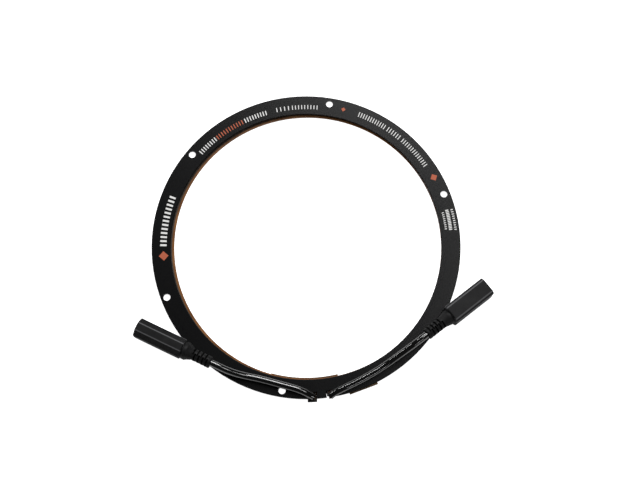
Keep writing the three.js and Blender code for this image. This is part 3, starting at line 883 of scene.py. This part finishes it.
class DEWRING_OT_connectors(bpy.types.Operator):
    """Moulded housings with their slotted strain reliefs, and the contacts inside them"""
    bl_idname = "dewring.connectors"
    bl_label = "Connectors"

    def execute(self, context):
        plastic = moulded_pvc()
        # PVC with painted shade, for the walls of the slots
        slot_shade = painted_slot_shade()
        finishes = {
            "contact_metal": plain_metal(
                "Nickel-plated brass", "a8a294", "cfcabd", 0.18, 0.32, 0.4 * MM,
            ),
            "insulator": coloured_plastic(
                "Black nylon insulator", "121214", "1d1d20", 0.35, 0.5, 0.5 * MM,
            ),
        }
        slots = slots_tree()
        for connector in CONNECTORS:
            boot_start = connector["length"] + connector["collar"][-1][0]
            total = boot_start * MM + context.scene.dew_ring_boot.length
            seat = rim_points(connector["route"][:1], lead_rest())[0]
            matrix = connector_matrix(seat, total, connector["heading"])
            self.housing(connector, boot_start, total, matrix, plastic, slot_shade, slots)
            for name, profile, slot in connector["contacts"]:
                mesh = turned_mesh(name, profile, matrix)
                piece = place_mesh(name + "_piece", mesh, finishes[slot])
                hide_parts(name)
        return {"FINISHED"}

    def housing(self, connector, boot_start, total, matrix, plastic, slot_shade, slots):
        boot = bpy.context.scene.dew_ring_boot
        lead = bpy.context.scene.dew_ring_sizes.lead_diameter / 2 / MM + LEAD_CLEARANCE
        length = connector["length"]
        stations = housing_stations(
            connector["outline"], length, connector["bore"], connector["depth"], connector["edge"],
        )
        stations += [(length + past, None, radius) for past, radius in connector["collar"]]
        stations += boot_stations(boot_start, total / MM, boot.radius / MM, lead)
        shell = housing_mesh(connector["piece"], stations)
        shell.materials.append(plastic)
        # The cut walls of the slots take the cutter's material, the PVC with painted shade
        cutter = grown_mesh(slots, {
            "Rows": SLOT_ROWS, "Slots per Row": boot.slots, "Pitch": boot.slot_pitch,
            "Slot Width": boot.slot_width, "Inner Radius": boot.radius - boot.slot_depth,
            "Outer Radius": boot.radius + SLOT_OVERCUT, "Slot Angle": boot.slot_angle,
            "Material": slot_shade,
        })
        first = boot_start * MM + boot.slot_margin + boot.slot_width / 2
        cutter.transform(Matrix.Translation((first, 0, 0)))
        cut = cut_mesh(shell, cutter)
        cut.transform(matrix)
        soften(cut)
        piece = place_mesh(connector["piece"], cut)
        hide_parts(connector["node"])


class DEWRING_OT_leads(bpy.types.Operator):
    """The two leads, from the ring's notches to their connectors"""
    bl_idname = "dewring.leads"
    bl_label = "Leads"

    def execute(self, context):
        jacket = cable_jacket()
        objects = bpy.data.objects
        for (name, node), connector in zip(
            (("sensor_lead", "thermistor_lead"), ("supply_lead", "power_lead")), CONNECTORS,
        ):
            pieces = [objects[connector["piece"]]]
            pieces += [objects[contact[0] + "_piece"] for contact in connector["contacts"]]
            self.lead(name, node, connector["route"], jacket, pieces)
        return {"FINISHED"}

    def lead(self, name, node, route, jacket, pieces):
        diameter = bpy.context.scene.dew_ring_sizes.lead_diameter
        path = list(reversed(smooth_path(rim_points(route, lead_rest()))))
        curve = bpy.data.curves.new(name, "CURVE")
        curve.dimensions = "3D"
        curve.bevel_depth = diameter / 2
        curve.bevel_resolution = 6
        curve.use_fill_caps = True
        spline = curve.splines.new("POLY")
        spline.points.add(len(path) - 1)
        for point, place in zip(spline.points, path):
            point.co = (*place, 1)
        spline.use_smooth = True
        curve.materials.append(jacket)
        obj = linked_object(name, curve)
        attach(obj, "root")
        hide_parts(node)


class DEWRING_OT_ring(bpy.types.Operator):
    """The anodised ring, with flat faces and smooth round walls"""
    bl_idname = "dewring.ring"
    bl_label = "Ring Plate"

    def execute(self, context):
        sizes = context.scene.dew_ring_sizes
        work = bmesh.new()
        work.from_mesh(frame["nodes"][RING_NODE].data)
        bmesh.ops.remove_doubles(work, verts=work.verts, dist=MERGE_DISTANCE)
        bmesh.ops.dissolve_limit(
            work, angle_limit=JOIN_ANGLE, verts=work.verts, edges=work.edges,
        )
        bmesh.ops.recalc_face_normals(work, faces=work.faces)
        mesh = finished_mesh(work, "ring_plate")
        soften(mesh, CREASE_DEGREES)
        for face in mesh.polygons:
            face.use_smooth = abs(face.normal.z) < LEVEL_NORMAL
        material = anodised_aluminium(sizes.ring_color)
        piece = place_mesh("ring_plate", mesh, material)
        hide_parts(RING_NODE)
        return {"FINISHED"}


class DEWRING_OT_print(bpy.types.Operator):
    """The screen-printed marks on the ring's face"""
    bl_idname = "dewring.print"
    bl_label = "Printed Marks"

    def execute(self, context):
        sizes = context.scene.dew_ring_sizes
        tree = marks_tree()
        for ink, name, dark, light in (
            ("white", "White screen ink", sizes.white_ink, "f2f2f0"),
            ("orange", "Orange screen ink", sizes.orange_ink, "bd5a33"),
        ):
            material = coloured_plastic(name, dark, light, 0.45, 0.6, 0.3 * MM)
            joined = bmesh.new()
            for share, start, end, count, length, width, color, turn in PRINTED_MARKS:
                if color != ink:
                    continue
                joined.from_mesh(grown_mesh(tree, {
                    "Radius": share * RING_RADIUS, "Start Angle": radians(start),
                    "Sweep": radians(end - start), "Count": count, "Length": length * MM,
                    "Width": width * MM, "Thickness": 2 * sizes.ink_thickness,
                    "Height": RING_TOP, "Turn": radians(turn), "Ink": material,
                }))
            marks = finished_mesh(joined, ink + "_marks")
            place_mesh(ink + "_marks", marks, material)
        return {"FINISHED"}


class DEWRING_OT_heater(bpy.types.Operator):
    """Finishes of the film heater, its adhesive, tapes, foil, joints and sensor"""
    bl_idname = "dewring.heater"
    bl_label = "Film Heater and Tapes"

    def execute(self, context):
        film = polyimide_film("Amber polyimide film", "94602c", "70451e")
        tape = polyimide_film("Amber polyimide tape", "6e4c2a", "563a20")
        tan = polyimide_film("Tan polyimide tape", "9c7c54", "846642")
        dark = polyimide_film("Brown polyimide tape", "1c120b", "150d08")
        foil = plain_metal("Etched copper-nickel foil", "8a7e6c", "a89c88", 0.3, 0.45, 0.5 * MM)
        solder = plain_metal("Tin solder", "9b9b9f", "bcbcc0", 0.25, 0.4, 0.4 * MM)
        epoxy = coloured_plastic("Black epoxy bead", "120f0c", "1d1813", 0.15, 0.3, 0.6 * MM, 1.55)
        for node, material in (
            ("heater_base_film", film), ("heater_cover_film", film), ("terminal_cover_tape", tape),
            ("power_tape", tan), ("thermistor_tape", dark), ("heater_track", foil),
            ("solder_joint_positive", solder), ("solder_joint_negative", solder),
            ("thermistor_bead", epoxy), ("mounting_adhesive", transfer_adhesive()),
        ):
            data = frame["nodes"][node].data
            data.materials.clear()
            data.materials.append(material)
        return {"FINISHED"}


class DEWRING_OT_wires(bpy.types.Operator):
    """The thin insulated wires between the leads and the heater"""
    bl_idname = "dewring.wires"
    bl_label = "Inner Wires"

    def execute(self, context):
        dark = coloured_plastic(
            "Brown fluoropolymer insulation", "2c2018", "3a2b20", 0.25, 0.4, 0.6 * MM, 1.4,
        )
        red = coloured_plastic("Dark red PVC insulation", "4a0f0c", "5c1512", 0.3, 0.42, 0.6 * MM)
        black = coloured_plastic("Black PVC insulation", "101011", "1a1a1c", 0.3, 0.42, 0.6 * MM)
        for node, notch, material, radius, slot in (
            ("thermistor_wire_left", SENSOR_NOTCH, dark, SENSOR_WIRE_RADIUS, "sensor_wire"),
            ("thermistor_wire_right", SENSOR_NOTCH, dark, SENSOR_WIRE_RADIUS, "sensor_wire"),
            ("power_wire_positive", POWER_NOTCH, red, POWER_WIRE_RADIUS, "red_wire"),
            ("power_wire_negative", POWER_NOTCH, black, POWER_WIRE_RADIUS, "black_wire"),
        ):
            points = notch_points(WIRE_ROUTES[node], notch, FILM_TOP + WIRE_GAP + radius)
            mesh = tube_mesh(node, smooth_path(points, WIRE_STEPS), radius * WIRE_SHARE)
            piece = place_mesh(node + "_piece", mesh, material)
            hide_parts(node)
        return {"FINISHED"}


class DEWRING_PT_panel(bpy.types.Panel):
    """Lists the sizes and the pieces"""
    bl_idname = "DEWRING_PT_panel"
    bl_label = "Dew Heater Ring"
    bl_space_type = "VIEW_3D"
    bl_region_type = "UI"
    bl_category = "Dew Ring"

    def draw(self, context):
        for group in (context.scene.dew_ring_sizes, context.scene.dew_ring_boot):
            for key in group.bl_rna.properties.keys():
                if key not in ("rna_type", "name"):
                    self.layout.prop(group, key)
        for operator in OPERATORS:
            self.layout.operator(operator.bl_idname)


OPERATORS = (
    DEWRING_OT_stage,
    DEWRING_OT_connectors,
    DEWRING_OT_leads,
    DEWRING_OT_ring,
    DEWRING_OT_print,
    DEWRING_OT_heater,
    DEWRING_OT_wires,
)
CLASSES = (DewRingSizes, DewRingBoot, *OPERATORS, DEWRING_PT_panel)


def register():
    for cls in CLASSES:
        bpy.utils.register_class(cls)
    bpy.types.Scene.dew_ring_sizes = bpy.props.PointerProperty(type=DewRingSizes)
    bpy.types.Scene.dew_ring_boot = bpy.props.PointerProperty(type=DewRingBoot)


def unregister():
    del bpy.types.Scene.dew_ring_boot
    del bpy.types.Scene.dew_ring_sizes
    for cls in reversed(CLASSES):
        bpy.utils.unregister_class(cls)


def main():
    register()
    for operator in OPERATORS:
        group, name = operator.bl_idname.split(".")
        getattr(getattr(bpy.ops, group), name)()


if __name__ == "__main__":
    main()
